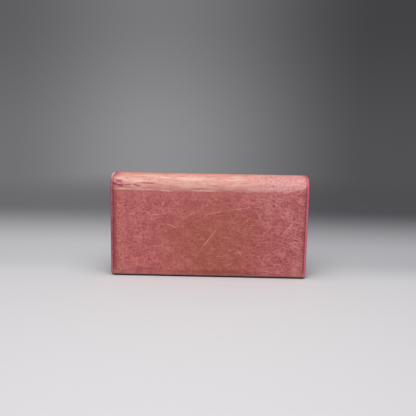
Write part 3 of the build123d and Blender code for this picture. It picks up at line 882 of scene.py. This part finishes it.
def node_sheet(name, node, body, facing, corners, face, material, slot, slack=0.0):
    """A flat sheet of a CAD node's size, thinner by slack, that shows towards facing."""
    cut = Cut(high(node, X) - low(node, X), low(node, Z), high(node, Z), *corners)
    place = flat_place(centre(node, X), side_of(node, facing), facing)
    piece = sheet(name, cut, place, face, thickness(node) - slack, [material] * 3)
    dress(piece, body, slot, node)


def bored(piece):
    """The piece with a round hole through it for the snap's socket."""
    drill = lathe("drill", SNAP_X, 0, SNAP_Z, 1, [(SOCKET_RADIUS, -0.05), (SOCKET_RADIUS, 0.05)], [])
    cut = piece.modifiers.new("hole", "BOOLEAN")
    cut.operation, cut.object, cut.solver = "DIFFERENCE", drill, "EXACT"
    bpy.context.view_layer.update()
    depsgraph = bpy.context.evaluated_depsgraph_get()
    piece.data = bpy.data.meshes.new_from_object(piece.evaluated_get(depsgraph), depsgraph=depsgraph)
    piece.modifiers.clear()
    bpy.data.objects.remove(drill)


# The cover: back, fold and flap are one piece of leather, sewn to its lining
BACK_FOLD = (("back", "fold"), (0, Y_BACK, HINGE_Z), (0, Y_BACK, HINGE_Z + BEND))
FOLD_FLAP = (("fold", "flap"), (0, Y_FLAP, HINGE_Z + BEND), (0, Y_FLAP, HINGE_Z))
SNAP_X, SNAP_Z = centre("snap_cap", X), centre("snap_cap", Z)
SOCKET_RADIUS = 3.1 * MM

BACK_CUT = Cut(2 * HALF, 0, COVER_SPLIT, low_corner=FOOT_CORNER, open_high=True, drawn_in=waist)
FLAP_CUT = Cut(2 * HALF, COVER_SPLIT, FLAP_END, high_corner=FLAP_CORNER, open_low=True, drawn_in=waist)
SHOWN, LINED = (OUTER, EDGE, LINING), (LINING, EDGE, LINING)  # on the face, the edge and the back
BACK_BOARD = (BOARD_INSET, HINGE_Z - BOARD_INSET)
FLAP_BOARD = (FLAP_START + BOARD_INSET, FLAP_END - BOARD_INSET)
BACK_FINE = ([(HINGE_Z - 4 * MM, COVER_SPLIT, 0.6 * MM)], [(-HALF + 7.5 * MM, -60 * MM, 0.7 * MM)])


def along_line(u, v, start, end, width):
    """1 on a line given in millimetres, falling away to 0 beside it."""
    (x, y), (run, climb) = np.array(start) * MM, np.subtract(end, start) * MM
    share = np.clip(((u - x) * run + (v - y) * climb) / (run**2 + climb**2), 0, 1)
    away = np.hypot(u - x - share * run, v - y - share * climb)
    return np.exp(-((away / (width * MM)) ** 2))


def wrinkled(u, v):
    """How far the squeezed end of the fold sinks in its wrinkles, less its rise between them."""
    sunk = np.zeros(np.broadcast(u, v).shape)
    for *ends, width in WRINKLES:
        sunk = np.maximum(sunk, width * along_line(u, v, ends[:2], ends[2:], 0.6 * width))
    between = along_line(u, v, (-92, 88.9), (-74, 88.4), 3.0)
    return 0.30 * MM * sunk - 0.35 * MM * between


def cover_face(u, v, margin):
    """The depth of the outer face: uneven, pressed in at the seam and wrinkled on the left."""
    seam = np.exp(-(((margin - STITCH_INSET) / (0.6 * MM)) ** 2))
    uneven = 0.10 * MM * ripple(u, v, 9 * MM, 3) * smooth(margin, 0, 1.2 * MM)
    return 0.12 * MM * seam - uneven + wrinkled(u, v) * smooth(margin, 0, 1.0 * MM)


def board_recess(v_low, v_high):
    """The depth of a lining's hidden face: it lies on the leather, and further in over a board."""

    def depth(u, v, margin):
        inside = smooth(HALF - abs(u), BOARD_INSET - 1 * MM, BOARD_INSET)
        inside = inside * smooth(v, v_low - 1 * MM, v_low) * (1 - smooth(v, v_high, v_high + 1 * MM))
        return LEATHER + BOARD * inside

    return depth


def cover():
    slots = ("outer_leather", "lining_leather", "thread")
    back = ("back_panel", "back_lining", "back_thread")
    fold = ("fold_leather", "fold_lining", "fold_thread")
    flap = ("flap_panel", "flap_lining", "flap_thread")
    for half, cut, bend, board, fine, parts in (
        ("back", BACK_CUT, BACK_FOLD, BACK_BOARD, BACK_FINE, (back, fold)),
        ("flap", FLAP_CUT, FOLD_FLAP, FLAP_BOARD, (), (flap,)),
    ):
        name = "cover_leather_" + half
        leather = sheet(name, cut, cover_place, cover_face, LEATHER, SHOWN, 1.6 * MM, *fine)
        lining = sheet("cover_lining_" + half, cut, cover_place, board_recess(*board), COVER, LINED)
        if half == "flap":
            bored(leather)
            bored(lining)
        sewn = stitches("cover_stitches_" + half, cut.loop(STITCH_INSET, 1 * MM), cover_place, THREAD)
        for piece, slot, *nodes in zip((leather, lining, sewn), slots, *parts):
            dress(piece, bend, slot, *nodes)


# The front cover, cut from another stretch of the hide
FRONT_HIDE = 0.3
Y_FRONT = high("front_panel", Y)
Y_FRONT_LINING = low("front_lining", Y)
FRONT_TOP = high("front_panel", Z)
TOP_CORNER = 3.0 * MM


def front_cover():
    cut = Cut(2 * HALF, FRONT_HIDE, FRONT_HIDE + FRONT_TOP, FOOT_CORNER, TOP_CORNER)
    facing_flap = flat_place(0, Y_FRONT, 1)

    def face_place(u, v, depth):
        return facing_flap(u, v - FRONT_HIDE, depth)

    leather = sheet("front_leather", cut, face_place, cover_face, LEATHER, SHOWN, 1.6 * MM)
    dress(leather, "front", "outer_leather", "front_panel")
    sewn = stitches("front_stitches", cut.loop(STITCH_INSET, 1 * MM), face_place, THREAD)
    dress(sewn, "front", "thread", "front_thread")

    inside = Cut(2 * HALF, 0, FRONT_TOP, FOOT_CORNER, TOP_CORNER)
    thick = Y_FRONT - LEATHER - Y_FRONT_LINING

    def hidden_face(u, v, margin):
        return thick - BOARD * smooth(margin, BOARD_INSET - 1 * MM, BOARD_INSET)

    place = flat_place(0, Y_FRONT_LINING, -1)
    lining = sheet("front_cover_lining", inside, place, 0, hidden_face, LINED)
    dress(lining, "front", "lining_leather", "front_lining")


# Card panels and card slots
CARD_BASE = 0.6 * MM
CARD_RIM = 3.0 * MM
CARD_CORNERS = (0.5 * MM, TOP_CORNER)
SLOT_CORNERS = (0.4 * MM, 1.5 * MM)
SLOT_GAP = 0.04 * MM


def card_face(u, v, margin):
    """Thin leather with a line creased round it, just inside the edge, and rolled at the edge."""
    crease = np.exp(-(((margin - 1.4 * MM) / (0.35 * MM)) ** 2))
    return 0.10 * MM * crease - 0.03 * MM * ripple(u, v, 11 * MM, 21)


def card_panel(side, body, facing):
    """A card panel with its sides and foot turned under."""
    node = side + "_card_panel"
    base, half = low(node, Z), high(node, X)
    slip = thickness(node) - CARD_BASE

    def under(u, v, margin):
        turned = np.maximum(1 - smooth(half - abs(u), CARD_RIM - 1 * MM, CARD_RIM),
                            1 - smooth(v - base, CARD_RIM - 1 * MM, CARD_RIM))
        return CARD_BASE + slip * turned

    cut = Cut(2 * half, base, high(node, Z), *CARD_CORNERS)
    place = flat_place(0, side_of(node, facing), facing)
    panel = sheet(side + "_card_backing", cut, place, card_face, under, [CARD] * 3)
    dress(panel, body, "card_leather", node)


def cards():
    for side, body, facing, rows in (("rear", "back", 1, 4), ("front", "front", -1, 2)):
        card_panel(side, body, facing)
        for hand in ("left", "right"):
            for row in range(1, rows + 1):
                slot = f"{side}_slot_{hand}_{row}"
                node = f"{side}_card_slot_{hand}_{row}"
                node_sheet(slot, node, body, facing, SLOT_CORNERS, card_face, CARD, "card_leather", SLOT_GAP)
        thread = side + "_card_thread"
        line = [(0, low(thread, Z)), (0, high(thread, Z))]
        place = flat_place(0, side_of(side + "_card_panel", facing), facing)
        sewn = stitches(side + "_card_stitches", line, place, CARD_THREAD, 2.2 * MM, 0.17 * MM)
        dress(sewn, body, "thread", thread)


# Gussets
GUSSET_THICK = 0.5 * MM
GUSSET_HEM = 2.6 * MM
GUSSET_FOLD = 10.4 * MM


def side_gusset(name, node, hand, hem_rear, rear, front, hem_front):
    """A side gusset folded inwards. The hems lie against the panels that it joins."""
    half, thin = high("coin_wall_rear", X), GUSSET_THICK / 2
    hem = half - GUSSET_HEM
    fold = [
        (half, hem_rear + thin), (hem, hem_rear + thin), (hem, rear + thin),
        (half - GUSSET_FOLD, (rear + front) / 2),
        (hem, front - thin), (hem, hem_front - thin), (half, hem_front - thin),
    ]
    fold = list(dict.fromkeys(fold))  # a hem in line with its side has the same point twice
    if hand < 0:
        fold = [(-x, y) for x, y in fold[::-1]]
    base, top = low(node, Z), high(node, Z)
    place, total = path_place(fold, base, top, dip=0.03)
    cut = Cut(top - base, 0, total)
    return sheet(name, cut, place, -thin, thin, [GUSSET] * 3, 0.7 * MM)


def foot_gusset(name, node):
    """The strip that closes a compartment at the foot."""
    rear, front, floor = low(node, Y), high(node, Y), low(node, Z)

    def place(u, v, depth):
        bowed = 0.25 * MM * np.sin(np.clip((v - rear) / (front - rear), 0, 1) * math.pi)
        return np.stack([u + 0 * depth, v + 0 * u, floor + GUSSET_THICK - depth + bowed], -1)

    cut = Cut(2 * high(node, X), rear, front)
    return sheet(name, cut, place, 0, GUSSET_THICK, [GUSSET] * 3, 0.8 * MM)


def gussets():
    rear, slots_rear = high("rear_card_slot_left_4", Y), high("rear_card_panel", Y)
    front, slots_front = low("front_card_slot_left_2", Y), low("front_card_panel", Y)
    coin_rear, coin_front = low("coin_wall_rear", Y), high("coin_wall_front", Y)
    inner, outer = high("coin_wall_rear", Y), low("coin_wall_front", Y)
    behind = (("back", "middle"), (0, rear, 0), (0, coin_rear, 0))
    before = (("middle", "front"), (0, coin_front, 0), (0, front, 0))
    for room, rides, hems in (
        ("rear", behind, (slots_rear, rear, coin_rear, coin_rear)),
        ("front", before, (coin_front, coin_front, front, slots_front)),
        ("coin", "middle", (inner, inner, outer, outer)),
    ):
        for hand, side in ((-1, "left"), (1, "right")):
            node = f"{room}_gusset_{side}"
            dress(side_gusset(f"{room}_fold_{side}", node, hand, *hems), rides, "gusset_leather", node)
        node = room + "_gusset_foot"
        dress(foot_gusset(room + "_foot_strip", node), rides, "gusset_leather", node)


# The zipped coin pocket
ZIP_HALF = high("zip_tape_rear", X)
ZIP_SEAM = 9 * MM  # from the tape's top to the seam that holds it
Y_ZIP = (low("zip_teeth_rear", Y) + high("zip_teeth_front", Y)) / 2
TOOTH_PITCH = 2.6 * MM
TOOTH_COUNT = 59
TOOTH_CLEAR = 0.22 * MM  # from the zip's middle to a tooth, clear of the slider's post
TOOTH = (  # share of the way from tape to head, half width in millimetres
    (0.0, 0.50), (0.2, 0.60), (0.5, 0.52), (0.72, 0.36), (0.86, 0.50), (0.96, 0.44), (1.0, 0.26),
)


def zip_teeth(side, hand):
    """A row of teeth: each is clamped round the tape's edge and narrows to a rounded head."""
    tape = Y_ZIP + hand * (high("zip_tape_front", Y) - Y_ZIP - 0.4 * MM)
    head = Y_ZIP + hand * TOOTH_CLEAR
    height = high("zip_teeth_rear", Z) - low("zip_teeth_rear", Z)
    points, faces = [], []
    turns = np.linspace(0, math.tau, 13)[:-1]
    across, up = (np.sign(wave) * abs(wave) ** 0.6 for wave in (np.cos(turns), np.sin(turns)))
    for number in range(TOOTH_COUNT):
        x = (number - (TOOTH_COUNT - 1) / 2) * TOOTH_PITCH + hand * TOOTH_PITCH / 4
        grown = skin(len(TOOTH), len(turns), len(points))
        faces += [face[::-1] for face in grown] if head > tape else grown
        for share, wide in TOOTH:
            y = np.full(len(turns), tape + (head - tape) * share)
            z = centre("zip_teeth_rear", Z) + up * 0.5 * height * (0.98 - 0.12 * share)
            points += np.stack([x + across * wide * MM, y, z], -1).tolist()
    row = add_mesh(side + "_zip_teeth", points, faces, [BRASS], sharp=40)
    dress(row, "middle", "zip_metal", "zip_teeth_" + side)


def coin_pocket():
    for side, facing in (("rear", -1), ("front", 1)):
        wall, tape = "coin_wall_" + side, "zip_tape_" + side
        name = side + "_pocket_wall"
        node_sheet(name, wall, "middle", facing, CARD_CORNERS, card_face, CARD, "card_leather")
        node_sheet(side + "_zip_tape", tape, "middle", facing, (), 0, TAPE, "zip_tape")
        zip_teeth(side, facing)
        height = high(tape, Z) - ZIP_SEAM
        line = [(-ZIP_HALF, height), (ZIP_HALF, height)]
        place = flat_place(0, side_of(wall, facing), facing)
        sewn = stitches(side + "_pocket_stitches", line, place, CARD_THREAD, 2.4 * MM, 0.17 * MM)
        dress(sewn, "middle", "thread")


# Metal parts, each profile as radius and height in millimetres
CAP = (
    (0.01, -0.6), (2.4, -0.6), (2.4, 0.05), (5.55, 0.02), (5.9, 0.06), (6.0, 0.2), (5.92, 0.36), (5.6, 0.5),
    (5.2, 0.52), (4.95, 0.46), (4.7, 0.5), (4.2, 0.66), (3.2, 0.8), (2.0, 0.87), (1.0, 0.895), (0.01, 0.9),
)
SOCKET = (
    (0.01, -2.3), (2.4, -2.3), (3.08, -2.2), (3.1, 0.0), (5.45, 0.0), (5.5, 0.08), (5.35, 0.2), (4.9, 0.26),
    (4.3, 0.24), (3.8, 0.22), (3.5, 0.3), (2.9, 0.3), (2.6, 0.2), (2.45, 0.0), (2.5, -0.3), (2.72, -0.5),
    (2.72, -1.6), (2.55, -1.8), (1.6, -1.85), (0.01, -1.85),
)
STUD = (
    (0.01, 0.0), (5.5, 0.0), (5.5, 0.1), (5.3, 0.24), (4.8, 0.3), (3.4, 0.26), (2.6, 0.3), (2.0, 0.42),
    (1.78, 0.7), (1.8, 1.1), (2.0, 1.5), (1.98, 1.9), (1.7, 2.2), (1.2, 2.36), (0.6, 2.4), (0.01, 2.4),
)


def snap():
    """The snap's domed cap, its socket in the flap, and the stud on the front cover."""
    for name, y, facing, profile, body, node in (
        ("snap_cap_dome", Y_FLAP, 1, CAP, "flap", "snap_cap"),
        ("snap_socket_ring", low("flap_lining", Y), -1, SOCKET, "flap", "snap_socket"),
        ("snap_stud_post", Y_FRONT, 1, STUD, "front", "snap_stud"),
    ):
        profile = [(radius * MM, height * MM) for radius, height in profile]
        dress(lathe(name, SNAP_X, y, SNAP_Z, facing, profile, [BRASS]), body, "snap_metal", node)


def finish_node(node, material, rounding=0.0):
    """A CAD node that shows as it is, in its material, with its hard edges rounded."""
    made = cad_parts[node]
    made.data.materials.clear()
    made.data.materials.append(material)
    if rounding:
        bevel = made.modifiers.new("rounding", "BEVEL")
        bevel.width, bevel.segments = rounding, 3
        bevel.limit_method, bevel.angle_limit = "ANGLE", math.radians(40)


cover()
front_cover()
cards()
gussets()
coin_pocket()
snap()
for board in ("back_board", "flap_board", "front_board"):
    finish_node(board, FIBRE)
for metal in ("zip_slider", "zip_puller", "zip_top_stop", "zip_bottom_stop"):
    finish_node(metal, BRASS, 0.15 * MM)
finish_node("snap_rivet", BRASS)


# The studio: a pale floor, grey surroundings and soft light from above


def studio_floor():
    """A pale floor that fades into the surroundings, with painted light and shade: lighter in front of the
    wallet against its shadow, darker to the right, and much darker behind the wallet where the light falls
    off.
    """
    p = Paint("studio_floor")
    at = p.node("TexCoord", {}, 3)
    x, y, _ = p.split(at)
    side = x.rise(-0.12, 0.2)
    colour = p.coats(
        # painted shade: darker to the right
        p.mix(side, rgb(196, 196, 199), rgb(181, 181, 185)),
        # painted light: lighter in front of the wallet, against its shadow and the light's falloff
        (rgb(208, 206, 208), y.fall(-0.03, 0.045)),
        # painted shade: darker behind the wallet, where the light falls off
        (p.mix(side, rgb(116, 116, 120), rgb(80, 80, 85)), y.rise(0.08, 0.30)),
    )
    p.finish(colour, 0.75, p.noise(at, 60, 3.0), 0.2 * MM)
    solid, clear = Value(p, p.shader.outputs[0]), p.node("BsdfTransparent", {})
    faded = p.node("MixShader", {0: p.length(at).rise(0.34, 0.64), 1: solid, 2: clear})
    p.put(p.tree.nodes["Material Output"].inputs["Surface"], faded)
    floor = add_mesh("floor", [(-1, -1, 0), (1, -1, 0), (1, 1, 0), (-1, 1, 0)], [(0, 1, 2, 3)], [p.material])


def area_light(name, place, target, size, power):
    """A soft square light at place that faces target."""
    light = bpy.data.lights.new(name, "AREA")
    light.shape, light.size, light.energy = "SQUARE", size, power
    lamp = bpy.data.objects.new(name, light)
    lamp.location = place
    lamp.rotation_mode = "QUATERNION"
    lamp.rotation_quaternion = (Vector(target) - Vector(place)).to_track_quat("-Z", "Y")
    bpy.context.scene.collection.objects.link(lamp)


def studio_world():
    """Grey surroundings, lighter left of the middle and overhead."""
    world = bpy.data.worlds.new("studio")
    world.use_nodes = True
    bpy.context.scene.world = world
    n = Nodes(world.node_tree)
    x, _, z = n.split(n.node("TexCoord", {}))
    across = x.rise(-0.30, -0.09, 0.6, 1.0) * x.rise(-0.09, 0.22, 1.0, 0.3)
    grey = n.mix(across * z.rise(-0.14, 0.06, 0.275, 0.19), (0, 0, 0, 1), (0.99, 0.99, 1.04, 1))
    sky = n.mix(z.rise(0.08, 0.6), grey, (0.36, 0.36, 0.365, 1))
    n.put(world.node_tree.nodes["Background"].inputs["Color"], sky)


def camera():
    lens = bpy.data.cameras.new("camera")
    lens.lens, lens.sensor_width = 60.58, 36.0
    lens.clip_start, lens.clip_end = 0.01, 50
    eye = bpy.data.objects.new("camera", lens)
    eye.location = (0.0053, -0.6698, 0.2145)
    yaw, pitch, roll = (math.radians(angle) for angle in (0.58, 90 - 12.5, 1.04))
    eye.rotation_mode = "QUATERNION"
    turn = Matrix.Rotation(yaw, 3, "Z") @ Matrix.Rotation(pitch, 3, "X") @ Matrix.Rotation(roll, 3, "Z")
    eye.rotation_quaternion = turn.to_quaternion()
    bpy.context.scene.collection.objects.link(eye)
    bpy.context.scene.camera = eye


studio_floor()
studio_world()
area_light("overhead", (0.0, -0.22, 0.75), (0, 0, 0.05), 0.6, 4.6)
area_light("front_fill", (-0.2, -0.95, 0.45), (0, 0, 0.05), 0.8, 3.6)
camera()
bpy.context.scene.view_settings.view_transform = "Standard"
